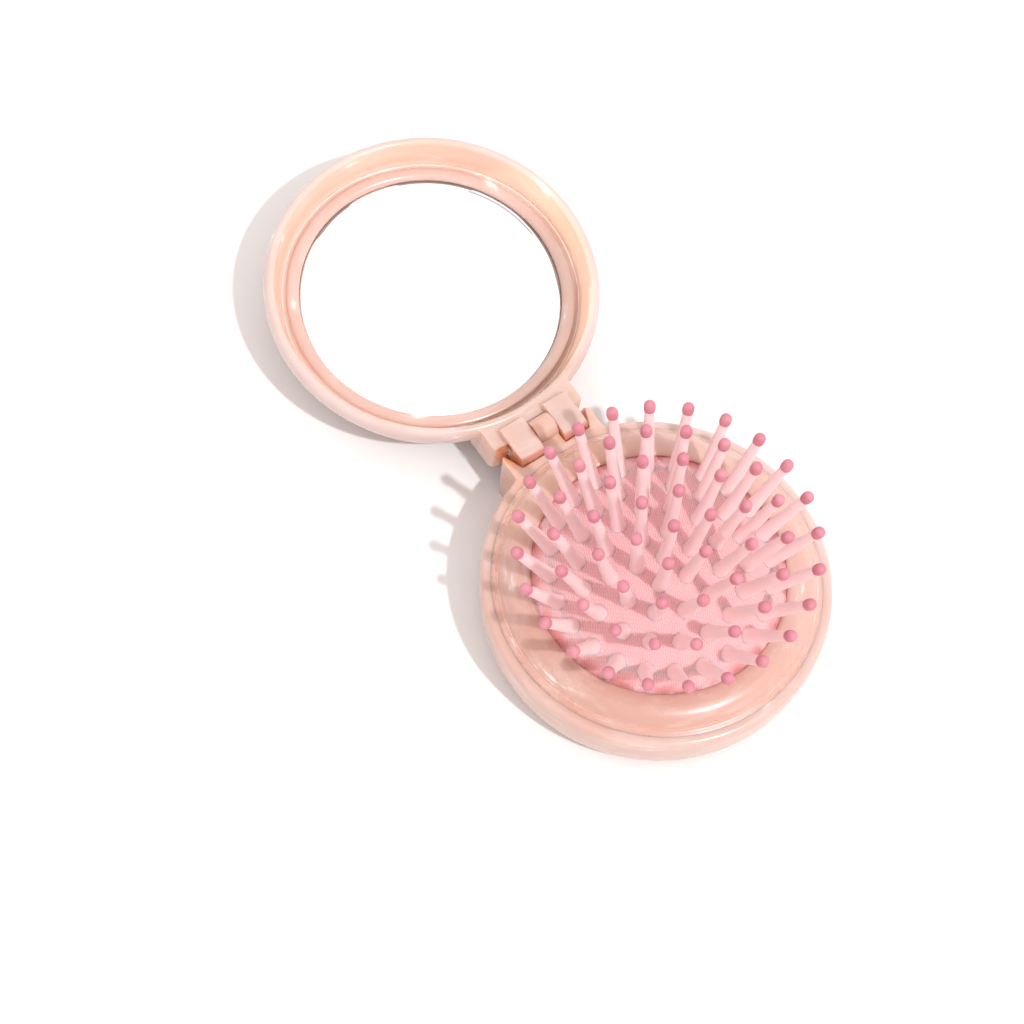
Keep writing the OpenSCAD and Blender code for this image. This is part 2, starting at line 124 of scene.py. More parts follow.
class ShellSettings(PropertyGroup):
    """Marbled plastic of the base, bezel, lid and mirror ring."""

    # Base and bezel: the pale colours are painted light on the side that the light falls on
    base: colour_prop("Base", "Colour of the base's shell", (0.53, 0.33, 0.28))
    base_pale: colour_prop("Base, pale side", "Colour of the base's paler side", (0.575, 0.405, 0.365))
    bezel: colour_prop("Bezel", "Colour of the bezel round the cushion", (0.49, 0.265, 0.215))
    bezel_pale: colour_prop("Bezel, pale side", "Colour of the bezel's paler side", (0.59, 0.368, 0.32))
    lip: colour_prop("Lip", "Colour of the lid's lip and outside", (0.55, 0.418, 0.39))
    inside: colour_prop("Inside", "Colour inside the lid", (0.69, 0.44, 0.34))
    # Painted light: the warm colour on the lid's inner wall away from the sun stands for light through the
    # plastic
    inside_warm: colour_prop("Inside, warm side", "Colour inside the lid's warmer side", (0.98, 0.66, 0.485))
    ring: colour_prop("Mirror ring", "Colour of the ring round the mirror", (0.575, 0.372, 0.318))
    # Painted shadow of the lid's wall on one side of the mirror ring
    ring_shade: colour_prop("Mirror ring, deep side", "Colour of the ring's deeper side", (0.45, 0.306, 0.26))
    # Painted light: the groove and the lid's low inner wall are brightened out of their shade
    groove: colour_prop("Groove", "Colour in the groove outside the mirror ring", (0.93, 0.655, 0.545))
    # Painted shade and glow deep in the hinge's slots, standing for light through the plastic
    depth: colour_prop("Depth", "Colour deep in a slot, lit through the plastic", (0.60, 0.20, 0.06))
    slot_glow: share_prop("Glow in slots", "How much light comes through the plastic deep in a slot", 0.22)
    block: colour_prop("Hinge block", "Colour beside the hinge", (0.55, 0.385, 0.33))
    # Painted warm shade on the hinge block's sides
    block_side: colour_prop("Hinge block, sides", "Colour of the hinge block's sides", (0.62, 0.36, 0.28))
    # Painted warm shade on the base beside the hinge
    base_block: colour_prop("Hinge block, base", "Colour of the base by the hinge", (0.59, 0.345, 0.27))
    # Painted light on the lugs' tops, and painted shade with warm light through the plastic low on their fronts
    lug: colour_prop("Lugs", "Colour of the lid's two lugs, painted pale where lit", (0.535, 0.36, 0.312))
    lug_front: colour_prop("Fronts of the lugs", "Colour low on the fronts of the lugs", (0.49, 0.165, 0.105))
    # Painted shade on the lid's lip by the hinge
    lip_shade: colour_prop("Lip at the hinge", "Colour of the lid's lip by the hinge", (0.46, 0.29, 0.235))
    deep: colour_prop("Deep marks", "Tint of the deeper flow marks", (1.0, 0.88, 0.80))
    pearl: colour_prop("Pearl marks", "Colour of the paler flow marks", (0.86, 0.74, 0.70))
    # Pale flecks: partly pearl marks of the plastic, partly painted glints
    glint_fleck: colour_prop("Flecks", "Colour of the pale flecks", (0.97, 0.90, 0.85))
    flow: number_prop("Flow marks", "How strongly the flow marks show", 0.8)
    roughness: share_prop("Roughness", "Roughness of the moulded gloss", 0.22)
    bezel_roughness: share_prop("Bezel roughness", "Roughness of the bezel's softer gloss", 0.29)
    glow: length_prop("Depth of glow", "How far light travels inside the thick plastic", 1.6)
    thin_glow: length_prop("Depth of glow, thin", "How far light travels inside thin pieces", 1.2)


class CushionSettings(PropertyGroup):
    """Rubber cushion with a ribbed cloth print moulded into it."""

    colour: colour_prop("Colour", "Colour of the rubber", (0.77, 0.425, 0.435))
    # Painted shade between the moulded ribs
    groove: colour_prop("Groove", "Colour between the ribs", (0.62, 0.26, 0.27))
    # Painted shade in patches at the cushion's edge, under the bezel and where the pins cast shade
    seam: colour_prop("Seam", "Colour at the edge, under the bezel", (0.56, 0.155, 0.15))
    rib_pitch: length_prop("Rib pitch", "Distance between neighbouring ribs", 0.46, 0.1)
    row_pitch: length_prop("Row pitch", "Distance between neighbouring rows of ribs", 0.72, 0.1)
    rib_turn: angle_prop("Rib direction", "Direction of the ribs seen from above", 45)
    thickness: length_prop("Thickness", "Thickness of the rubber", 1.2, 0.2)
    collar: length_prop("Collar", "How far the rubber stands up round each pin", 0.30)
    rise: length_prop("Rise", "Height of the popped-out dome above its edge", 7.2, 1)
    radius: length_prop("Radius", "Radius of the dome at its edge", 24.5, 5)


class PinSettings(PropertyGroup):
    """Pins with ball tips."""

    shaft: colour_prop("Shaft", "Colour of the shafts", (0.72, 0.50, 0.50))
    # Painted light: the roots are paler, lifting them out of the shade among the pins
    root: colour_prop("Root", "Colour of the shafts near the cushion", (0.86, 0.64, 0.64))
    tip: colour_prop("Tip", "Colour of the ball tips", (0.50, 0.165, 0.205))
    fan_depth: length_prop("Fan depth", "Depth below the floor of the point that the pins fan from", 15.8)
    reach: length_prop("Reach", "Distance from that point to the middle of each tip", 54.85)
    tip_half: length_prop("Half tip", "Distance from a tip's middle to where its colour begins", 1.02)


class MirrorSettings(PropertyGroup):
    """Silvered glass with a bevel and a darker edge, which is partly the silver's end and partly painted shade
    and reflection.
    """

    silver: colour_prop("Silver", "Colour of the silvering", (0.97, 0.97, 0.975))
    # The dark edge line is partly where the silvering ends and partly painted shade; the bevel's colour is a
    # painted reflection of the ring
    edge: colour_prop("Edge", "Colour where the silvering ends", (0.13, 0.075, 0.07))
    edge_warm: colour_prop("Edge, warm", "Warmest colour where the silvering ends", (0.42, 0.31, 0.27))
    strip: colour_prop("Bevel strip", "Colour of the reflecting strip along the bevel", (0.40, 0.33, 0.36))
    radius: length_prop("Radius", "Radius of the part of the mirror that shows", 26.75, 5)
    bevel: length_prop("Bevel line", "Distance of the bevel's line from the edge", 0.95)
    line: length_prop("Edge line", "Width of the dark line where the silvering ends", 0.16)


class MetalSettings(PropertyGroup):
    """Steel of the hinge pin and the screw, warm with the light from the plastic round it, painted into its
    colours as a reflection.
    """

    low: colour_prop("Scratches", "Colour in the fine scratches", (0.42, 0.19, 0.08))
    high: colour_prop("Face", "Colour between the scratches", (0.54, 0.28, 0.14))


class StageSettings(PropertyGroup):
    """Floor, light and camera."""

    floor: colour_prop("Floor", "Colour of the floor", (0.75, 0.725, 0.715))
    sun_strength: number_prop("Sun strength", "Strength of the sun", 2.09)
    sun_colour: colour_prop("Sun colour", "Colour of the sunlight", (0.91, 0.97, 1.0))
    sun_width: angle_prop("Sun width", "Width of the sun, which softens its shadows", 2.0)
    sun_azimuth: angle_prop("Sun azimuth", "Direction that the sunlight travels, seen from above", 99)
    sun_elevation: angle_prop("Sun elevation", "Height of the sun above the horizon", 57)
    sky: number_prop("Sky", "Strength of the even light all round", 1.25)
    sky_colour: colour_prop("Sky colour", "Colour of the even light all round", (1, 0.972, 0.958))
    lens: number_prop("Lens", "Focal length on a 36 mm wide sensor, in millimetres", 80.21)


class HairbrushSettings(PropertyGroup):
    """All the settings of the hairbrush."""

    shell: PointerProperty(type=ShellSettings)
    cushion: PointerProperty(type=CushionSettings)
    pins: PointerProperty(type=PinSettings)
    mirror: PointerProperty(type=MirrorSettings)
    metal: PointerProperty(type=MetalSettings)
    stage: PointerProperty(type=StageSettings)


def mm(*values):
    """Lengths in metres from lengths in millimetres."""
    return tuple(value * MM for value in values)


class Fade:
    """Where masks fade in: a mask is 0 at the first number and 1 at the second."""

    # Distance from the hinge's axis
    BESIDE = mm(12.5, 7)
    SLOT = mm(5.0, 4.86)
    HOLLOW = mm(4.4, 2.4)
    BLOCK = mm(8.4, 7.2)
    LUG = mm(5.5, 4.9)
    DEEP = mm(6.6, 5.0)
    # Distance along the hinge's axis from its middle
    SLOT_INNER_END = mm(2.1, 2.3)
    SLOT_OUTER_END = mm(8.5, 8.1)
    HOLLOW_END = mm(10.3, 9.9)
    LUG_END = mm(8.1, 7.9)
    LUG_SIDES = mm(8.3, 8.0)
    SHADED_HALF = mm(1, -1)
    SHADED_END = mm(-7.7, -8.0)
    # Distance ahead of the hinge's axis
    AHEAD = mm(-1, 3.5)
    # Level above the lid's glass, and radius in the lid
    INSIDE_LOW = mm(2.9, 1.3)
    BEHIND = mm(1.3, 0.7)
    OUTSIDE_LOW = mm(1.2, -3.6)
    GROOVE_EDGE = mm(31.9, 31.5)
    LIP = mm(31.4, 33.0)
    LIP_EDGE = mm(34.4, 33.8)
    RING_GROOVE = mm(30.0, 30.25)
    # How squarely a face looks sideways or forwards
    FACING = (0.3, 0.8)
    FACING_SQUARE = (0.6, 0.9)
    # Painted shade in the cloth print and at the cushion's edge, painted light at the pins' roots, the tips'
    # tone and the dust on the mirror
    RIB = (0.15, 0.75)
    SEAM = mm(-2.6, -0.1)
    PATCH = (0.3, 0.6)
    ROOT = mm(-14.5, -3)
    TIP_SMUDGE = (0.35, 0.7)
    DUST = (0.6, 0.75)
    # The dark line at the mirror's edge, partly painted shade, where the line ends, and the strip of painted
    # reflection along the bevel
    LINE = mm(-0.05, 0.03)
    LINE_WIDTH = mm(0, 0.08)
    STRIP = mm(0.24, 0.10)


class Arc:
    """Windows round a ring: the direction of the middle, half the width and the soft edge, in degrees."""

    # Windows of painted light and shade: by the hinge on the bezel and the lid's lip, the warm lid wall, the
    # shadow on the ring, and the mirror's edge line, bands and bevel
    BEZEL_AT_HINGE = (98, 14, 25)
    LID_WARM = (-30, 35, 35)
    LID_AT_HINGE = (-90, 16, 16)
    RING_SHADE = (-45, 30, 35)
    MIRROR_LINE = (40, 100, 40)
    MIRROR_GAP = (85, 6, 6)
    MIRROR_STRIP = (20, 17, 3)


class Share:
    """How much of a colour shows where its mask is 1."""

    # Painted shade and light beside the hinge, on the lip at the hinge, low on the lugs' fronts, deep in the
    # slots with its glow, on the ring, the glints and the bevel's reflection; the pearl marks are the plastic's
    # own
    BESIDE = 0.85
    LIP_AT_HINGE = 0.75
    LUG_FRONT = 0.75
    DEPTH = 0.8
    LIT_DEPTH = 0.35
    RING_SHADE = 0.8
    PEARL = 0.35
    FLECK = 0.5
    STRIP = 0.85


# Grey bands of painted shade and reflection at the mirror's edge: an arc of degrees as above, and how far the
# band grows, in millimetres
MIRROR_BANDS = ((102, 12, 8, 0.45), (54, 16, 3, 0.45), (-10, 10, 20, 0.42))
# Direction of the side painted paler as lit
PALE_SIDE = math.radians(20)

# Contrast of the flow marks, and the flow above which pale flecks show, partly pearl marks and partly painted
# glints: a lower one gives more flecks
CONTRAST = 4.0
FEW_FLECKS, MORE_FLECKS, FLECK_EDGE = 0.61, 0.595, 0.05


# ---------- shader helpers ----------


def fill(node, inputs):
    """Links or sets the inputs of a node, each found by its number or its name (an underscore is a space)."""
    for key, value in inputs.items():
        socket = node.inputs[key.replace("_", " ") if isinstance(key, str) else key]
        if isinstance(value, NodeSocket):
            node.id_data.links.new(value, socket)
        else:
            socket.default_value = value
    return node


def add(tree, kind, inputs=None, **settings):
    """Adds a node, sets it up, and links or sets its inputs."""
    node = tree.nodes.new(kind if "Node" in kind else "ShaderNode" + kind)
    for name, value in settings.items():
        setattr(node, name, value)
    return fill(node, inputs or {})


def tree_of(values):
    """The node tree in which the sockets among some values lie."""
    return next(value.id_data for value in values if isinstance(value, NodeSocket))


def math_of(operation, *values, clamp=False):
    """The output of a Math node."""
    inputs = dict(enumerate(values))
    return add(tree_of(values), "Math", inputs, operation=operation, use_clamp=clamp).outputs[0]


def times(first, *others):
    """The product of two or more values."""
    for other in others:
        first = math_of("MULTIPLY", first, other)
    return first


def plus(a, b, clamp=False):
    """The sum of two values."""
    return math_of("ADD", a, b, clamp=clamp)


def minus(a, b):
    """The first value less the second."""
    return math_of("SUBTRACT", a, b)


def vector_of(operation, *values):
    """The output of a Vector Math node, which is a number for a length or a distance."""
    output = "Value" if operation in ("LENGTH", "DISTANCE") else "Vector"
    return add(tree_of(values), "VectorMath", dict(enumerate(values)), operation=operation).outputs[output]


def parts_of(vector):
    """The x, y and z of a vector."""
    return add(vector.id_data, "SeparateXYZ", {0: vector}).outputs


def turn_back(vector, angle, axis):
    """A vector turned backwards about an axis."""
    return add(vector.id_data, "VectorRotate", {"Vector": vector, "Angle": angle},
               rotation_type=axis, invert=True).outputs[0]


def ramp(value, low, high):
    """A mask that goes smoothly from 0 to 1 as value goes from low to high."""
    return add(value.id_data, "MapRange", {"Value": value, "From Min": low, "From Max": high},
               interpolation_type="SMOOTHSTEP").outputs["Result"]


def arc(turn, middle, half, soft):
    """A mask that is 1 within half of the middle direction and fades out over soft, all in degrees."""
    toward = math_of("COSINE", minus(turn, math.radians(middle)))
    return ramp(toward, math.cos(math.radians(half + soft)), math.cos(math.radians(half)))


def mix(factor, a, b, blend="MIX"):
    """A colour between a and b, or another blend of them; each is a socket or three numbers."""
    tree = tree_of((factor, a, b))
    a, b = (part if isinstance(part, NodeSocket) else (*part[:3], 1) for part in (a, b))
    return add(tree, "Mix", {0: factor, 6: a, 7: b}, data_type="RGBA", blend_type=blend).outputs[2]


def place_of(tree):
    """The place of a point on its piece."""
    return add(tree, "TexCoord").outputs["Object"]


def noise(tree, scale, detail=2.0, place=None, seed=None, **more):
    """The grey of a noise texture over the piece, or over another place; a seed picks a slice of it."""
    inputs = {"Vector": place or place_of(tree), "Scale": scale, "Detail": detail, **more}
    if seed is None:
        return add(tree, "TexNoise", inputs).outputs["Fac"]
    return add(tree, "TexNoise", {**inputs, "W": seed}, noise_dimensions="4D").outputs["Fac"]


def built_once(name):
    """Hands a builder the name of its node group, or gives back the group that is there already."""
    def wrap(build):
        @functools.wraps(build)
        def get(*values):
            return bpy.data.node_groups.get(name) or build(name, *values)
        return get
    return wrap


def start_group(name, inputs, outputs):
    """A new shader node group and its two end nodes; inputs have values, and outputs are numbers."""
    tree = bpy.data.node_groups.new(name, "ShaderNodeTree")
    for label, value in inputs.items():
        kind = "NodeSocketVector" if isinstance(value, tuple) else "NodeSocketFloat"
        tree.interface.new_socket(name=label, in_out="INPUT", socket_type=kind).default_value = value
    for label in outputs:
        tree.interface.new_socket(name=label, in_out="OUTPUT", socket_type="NodeSocketFloat")
    return tree, tree.nodes.new("NodeGroupInput"), tree.nodes.new("NodeGroupOutput")


def start_modifier(name):
    """A new geometry node group, the geometry that comes in, and its end node."""
    tree = bpy.data.node_groups.new(name, "GeometryNodeTree")
    for way in ("INPUT", "OUTPUT"):
        tree.interface.new_socket(name="Geometry", in_out=way, socket_type="NodeSocketGeometry")
    return tree, tree.nodes.new("NodeGroupInput").outputs[0], tree.nodes.new("NodeGroupOutput")


def place_group(tree, group, **values):
    """The outputs of a shared group that is placed in a material with its own values."""
    return tuple(add(tree, "Group", values, node_tree=group).outputs)


def new_material(name, **constants):
    """A material with one Principled shader whose constant sockets are set."""
    material = bpy.data.materials.new(name)
    material.use_nodes = True
    tree = material.node_tree
    tree.nodes.clear()
    shader = add(tree, "BsdfPrincipled", constants)
    add(tree, "OutputMaterial", {"Surface": shader.outputs[0]})
    return material, tree, shader


def finish_surface(shader, colour, roughness, height, distance):
    """Links a surface's colour and roughness, and its height, in which 1 stands for the distance."""
    normal = add(shader.id_data, "Bump", {"Strength": 1.0, "Distance": distance, "Height": height}).outputs[0]
    fill(shader, {"Base Color": colour, "Roughness": roughness, "Normal": normal})


# ---------- shared effects ----------


@built_once("Place on a ring")
def ring_place_group(name):
    """Where a point lies on a round half of the brush: radius, level and direction from its middle."""
    tree, start, end = start_group(name, {"Middle": (0, 0, 0), "Tilt": 0.0}, ("Radius", "Level", "Turn"))
    middle, tilt, _ = start.outputs
    out = vector_of("SUBTRACT", place_of(tree), middle)
    out = turn_back(out, tilt, "X_AXIS")
    x, y, z = parts_of(out)
    flat = add(tree, "CombineXYZ", {0: x, 1: y, 2: 0.0}).outputs[0]
    fill(end, {"Radius": vector_of("LENGTH", flat), "Level": z, "Turn": math_of("ARCTAN2", y, x)})
    return tree


@built_once("Place by the hinge")
def hinge_place_group(name):
    """Where a point lies from, along and ahead of the hinge's axis, and how its face looks."""
    tree, start, end = start_group(
        name, {"Axis": (0, 0, 0)}, ("Distance", "Along", "Ahead", "Sideways", "Forwards"))
    x, y, z = parts_of(vector_of("SUBTRACT", place_of(tree), start.outputs[0]))
    across = add(tree, "CombineXYZ", {0: 0.0, 1: y, 2: z}).outputs[0]
    facing_x, facing_y, _ = parts_of(add(tree, "TexCoord").outputs["Normal"])
    fill(end, {"Distance": vector_of("LENGTH", across), "Along": x, "Ahead": times(y, -1.0),
               "Sideways": math_of("ABSOLUTE", facing_x), "Forwards": times(facing_y, -1.0)})
    return tree


@built_once("Pearl marble")
def pearl_marble_group(name):
    """Flow marks that run round a moulded shell."""
    tree, start, end = start_group(
        name, {"Radius": 0.0, "Level": 0.0, "Turn": 0.0, "Roughness": 0.2, "Seed": 0.0},
        ("Flow", "Roughness", "Height"))
    radius, level, turn, rough, seed, _ = start.outputs
    # Directions round the middle change slowly, radius and height quickly, so the marks run round
    slow, most, quick = 150.0, 3.0, 420.0
    wide = math_of("MINIMUM", times(radius, slow), most)
    ring = add(tree, "CombineXYZ", {
        0: times(math_of("COSINE", turn), wide), 1: times(math_of("SINE", turn), wide),
        2: times(radius, quick)}).outputs[0]
    streaks = noise(tree, 1.0, 4.0, ring, plus(times(level, quick), seed), Roughness=0.55, Distortion=0.6)
    clouds = noise(tree, 75.0, 3.0, seed=seed, Distortion=0.8)
    marks = plus(times(streaks, 0.6), times(clouds, 0.4))
    fine, smudge = noise(tree, 1400.0), noise(tree, 160.0, 3.0)
    rough = plus(rough, times(minus(smudge, 0.5), 0.16), clamp=True)
    relief = plus(times(streaks, 0.5), times(fine, 0.02))
    fill(end, {"Flow": marks, "Roughness": rough, "Height": plus(times(clouds, 0.8), relief)})
    return tree


@built_once("Ribbed cloth")
def ribbed_cloth_group(name):
    """Rows of short ribs, as a cloth print moulded in rubber."""
    tree, start, end = start_group(name, {"Turn": 0.0, "Rib pitch": 0.0005, "Row pitch": 0.0006}, ("Rib",))
    turn, rib_pitch, row_pitch, _ = start.outputs
    place = place_of(tree)
    wander = add(tree, "TexNoise", {"Vector": place, "Scale": 260.0, "Detail": 2.0}).outputs["Color"]
    place = vector_of("ADD", place, vector_of("MULTIPLY", wander, mm(0.16, 0.16, 0)))
    x, y, _ = parts_of(turn_back(place, turn, "Z_AXIS"))
    row = math_of("DIVIDE", x, row_pitch)
    # Every second row is shifted by half a rib
    odd = times(math_of("MODULO", math_of("FLOOR", row), 2.0), 0.5)
    rib = plus(math_of("DIVIDE", y, rib_pitch), odd)
    rib_wave, row_wave = (math_of("ABSOLUTE", math_of("SINE", times(part, math.pi)))
                          for part in (rib, row))
    # Powers below 1 make the ribs full and the grooves between them narrow
    row_part = plus(times(math_of("POWER", row_wave, 0.5), 0.5), 0.5)
    fill(end, {"Rib": times(math_of("POWER", rib_wave, 0.7), row_part)})
    return tree


@built_once("Fine grain")
def fine_grain_group(name):
    """Very fine mould grain with a few faint smudges."""
    tree, start, end = start_group(
        name, {"Grain size": 0.0004, "Roughness": 0.4, "Unevenness": 0.1}, ("Roughness", "Height", "Shade"))
    size, rough, unevenness, _ = start.outputs
    scale = math_of("DIVIDE", 1.0, size)
    grain, smudge = noise(tree, scale, 3.0), noise(tree, times(scale, 0.08))
    rough = plus(rough, times(minus(smudge, 0.5), unevenness), clamp=True)
    fill(end, {"Roughness": rough, "Height": grain, "Shade": smudge})
    return tree


def is_more(value, limit):
    """Whether a number in a geometry group is more than a limit."""
    return add(value.id_data, "FunctionNodeCompare", {0: value, 1: limit},
               data_type="FLOAT", operation="GREATER_THAN").outputs[0]


@built_once("Smooth moulding")
def smooth_by_angle_group(name):
    """Welds the faces of a node and shades it smooth except across sharp edges."""
    tree, geometry, end = start_modifier(name)
    weld = add(tree, "GeometryNodeMergeByDistance", {"Geometry": geometry, "Distance": WELD})
    angle = add(tree, "GeometryNodeInputMeshEdgeAngle").outputs["Unsigned Angle"]
    sharp = is_more(angle, SHARP_ANGLE)
    normal = add(tree, "GeometryNodeSetMeshNormal", {
        "Mesh": weld.outputs[0], "Remove Custom": True, "Edge Sharpness": sharp}, mode="SHARPNESS")
    fill(end, {0: normal.outputs[0]})
    return tree


@built_once("Coloured tips")
def tip_finish_group(name, settings):
    """Gives the ball tips of the pins their second material."""
    tree, geometry, end = start_modifier(name)
    place = add(tree, "GeometryNodeInputPosition").outputs[0]
    out = vector_of("DISTANCE", place, (BASE_MIDDLE.x, BASE_MIDDLE.y, -settings.fan_depth))
    ball = is_more(out, settings.reach - settings.tip_half)
    finish = add(tree, "GeometryNodeSetMaterialIndex", {
        "Geometry": geometry, "Selection": ball, "Material Index": 1})
    fill(end, {0: finish.outputs[0]})
    return tree


# ---------- materials ----------


def start_plastic(name, look, middle, tilt, seed, thin=False, roughness=None):
    """Marbled plastic without its colour: the material, its shader, the place on the ring and the marble."""
    material, tree, shader = new_material(
        name, Subsurface_Weight=1.0, Subsurface_Radius=(1.0, 0.85, 0.75),
        Subsurface_Scale=look.thin_glow if thin else look.glow,
        IOR=1.5, Sheen_Weight=0.08, Sheen_Roughness=0.4, Sheen_Tint=(1.0, 0.9, 0.86, 1))
    shader.subsurface_method = "BURLEY"
    radius, level, turn = place_group(tree, ring_place_group(), Middle=middle, Tilt=tilt)
    marble = place_group(tree, pearl_marble_group(), Radius=radius, Level=level, Turn=turn,
                         Roughness=roughness or look.roughness, Seed=seed)
    return material, shader, (radius, level, turn), marble


def colour_plastic(shader, look, marble, body, flecks=FEW_FLECKS):
    """Marbles a body colour and links the surface."""
    marks, rough, height = marble
    flow = times(minus(marks, 0.5), look.flow)
    deep = math_of("MULTIPLY", flow, -CONTRAST, clamp=True)
    pearl = math_of("MULTIPLY", flow, CONTRAST, clamp=True)
    # Pale flecks, partly pearl marks of the plastic and partly painted glints
    glint = ramp(marks, flecks, flecks + FLECK_EDGE)
    colour = mix(deep, body, look.deep, "MULTIPLY")
    colour = mix(times(pearl, Share.PEARL), colour, look.pearl)
    colour = mix(times(glint, Share.FLECK), colour, look.glint_fleck)
    finish_surface(shader, colour, rough, height, 0.05 * MM)


def glow(shader, look, mask):
    """Painted light: a faint glow in the depth of a slot, standing for light that comes through the plastic."""
    fill(shader, {"Emission Color": mix(mask, (0, 0, 0), look.depth), "Emission Strength": look.slot_glow})


def painted_light_side(turn):
    """A mask for painted light that goes from 0 on the shaded side of the base to 1 on the lit side."""
    return plus(times(math_of("COSINE", minus(turn, PALE_SIDE)), 0.5), 0.5)


def base_material(look):
    """The base's plastic: paler on its lit side, warmer with painted shade beside the hinge, and deep orange
    with a painted glow in the hinge's slots.
    """
    material, shader, (_, _, turn), marble = start_plastic(
        "marbled plastic, base", look, BASE_MIDDLE, 0.0, seed=0.0)
    # Painted light: the lit side of the base is paler
    body = mix(painted_light_side(turn), look.base, look.base_pale)
    distance, along, _, _, _ = place_group(material.node_tree, hinge_place_group(), Axis=HINGE_AXIS)
    aside = math_of("ABSOLUTE", along)
    # Painted warm shade beside the hinge
    body = mix(times(ramp(distance, *Fade.BESIDE), Share.BESIDE), body, look.base_block)
    # Painted shade and glow deep in the hinge's slots, standing for light through the plastic
    hollow = times(ramp(distance, *Fade.HOLLOW), ramp(aside, *Fade.HOLLOW_END),
                   ramp(along, *Fade.SHADED_HALF))
    slot = times(ramp(distance, *Fade.SLOT), ramp(aside, *Fade.SLOT_INNER_END),
                 math_of("MAXIMUM", ramp(aside, *Fade.SLOT_OUTER_END), hollow))
    body = mix(slot, body, look.depth)
    colour_plastic(shader, look, marble, body)
    glow(shader, look, slot)
    return material


def bezel_material(look):
    """The bezel's plastic: paler on its lit side and warmer beside the hinge, both painted light and shade."""
    material, shader, (_, _, turn), marble = start_plastic(
        "marbled plastic, bezel", look, BASE_MIDDLE, 0.0, seed=3.1, thin=True, roughness=look.bezel_roughness)
    # Painted light: the lit side of the bezel is paler
    body = mix(painted_light_side(turn), look.bezel, look.bezel_pale)
    # Painted warm shade beside the hinge
    body = mix(arc(turn, *Arc.BEZEL_AT_HINGE), body, look.base_block)
    colour_plastic(shader, look, marble, body)
    return material


def lid_material(look):
    """The lid's plastic: peach inside, pale on the lip, warm by the hinge, with painted light and shade: a warm
    glow on the wall away from the sun, a brightened groove, shade on the lip by the hinge and on the block's
    sides, paler lit lugs, and deep orange shade and glow on the lugs' sides.
    """
    material, shader, (radius, level, turn), marble = start_plastic(
        "marbled plastic, lid", look, GLASS_MIDDLE, LID_TILT, seed=7.3)
    distance, along, ahead, sideways, forwards = place_group(
        material.node_tree, hinge_place_group(), Axis=HINGE_AXIS)
    aside = math_of("ABSOLUTE", along)

    # Inside and outside, with painted light on the inner wall away from the sun and in the low groove
    inside = mix(arc(turn, *Arc.LID_WARM), look.inside, look.inside_warm)
    # Painted light: the low inner wall and the groove are brightened out of their shade
    low = times(ramp(level, *Fade.INSIDE_LOW), ramp(radius, *Fade.GROOVE_EDGE))
    inside = mix(low, inside, look.groove)
    outside = mix(ramp(level, *Fade.OUTSIDE_LOW), look.lip, look.base)
    behind = ramp(level, *Fade.BEHIND)
    lip = math_of("MAXIMUM", ramp(radius, *Fade.LIP), behind)
    body = mix(lip, inside, outside)

    # The lip, the block and the lugs at the hinge: painted shade on the lip and on the block's sides, painted
    # light on the lugs' tops, painted shade low on their fronts
    # Painted shade on the lip by the hinge
    near = times(arc(turn, *Arc.LID_AT_HINGE), ramp(radius, *Fade.LIP_EDGE),
                 minus(1.0, behind))
    body = mix(times(near, Share.LIP_AT_HINGE), body, look.lip_shade)
    # Painted warm shade on the block's sides
    block = mix(ramp(sideways, *Fade.FACING), look.block, look.block_side)
    body = mix(ramp(distance, *Fade.BLOCK), body, block)
    # Painted light: the lugs' tops are paler
    lug = times(ramp(distance, *Fade.LUG), ramp(aside, *Fade.LUG_END))
    body = mix(lug, body, look.lug)
    # Painted shade with warm light through the plastic, low on the lugs' fronts
    forwards = ramp(forwards, *Fade.FACING)
    body = mix(times(lug, forwards, Share.LUG_FRONT), body, look.lug_front)

    # Painted shade and glow on the sides of the lugs and on the shaded end, standing for light through the
    # plastic
    side = times(ramp(sideways, *Fade.FACING_SQUARE), ramp(aside, *Fade.LUG_SIDES),
                 ramp(ahead, *Fade.AHEAD))
    face = times(forwards, ramp(along, *Fade.SHADED_END))
    deep = times(math_of("MAXIMUM", side, face), ramp(distance, *Fade.DEEP))
    body = mix(times(deep, Share.DEPTH), body, look.depth)
    colour_plastic(shader, look, marble, body, flecks=MORE_FLECKS)
    glow(shader, look, times(deep, Share.LIT_DEPTH))
    return material


def ring_material(look):
    """The mirror ring's plastic, with a painted shadow of the lid's wall on one side, and brighter in the
    groove outside it as painted light.
    """
    material, shader, (radius, _, turn), marble = start_plastic(
        "marbled plastic, ring", look, GLASS_MIDDLE, LID_TILT, seed=9.7, thin=True)
    # Painted shadow of the lid's wall on one side of the ring
    ring = mix(times(arc(turn, *Arc.RING_SHADE), Share.RING_SHADE), look.ring, look.ring_shade)
    # Painted light: the groove outside the ring is brightened out of its shade
    body = mix(ramp(radius, *Fade.RING_GROOVE), ring, look.groove)
    colour_plastic(shader, look, marble, body, flecks=MORE_FLECKS)
    return material


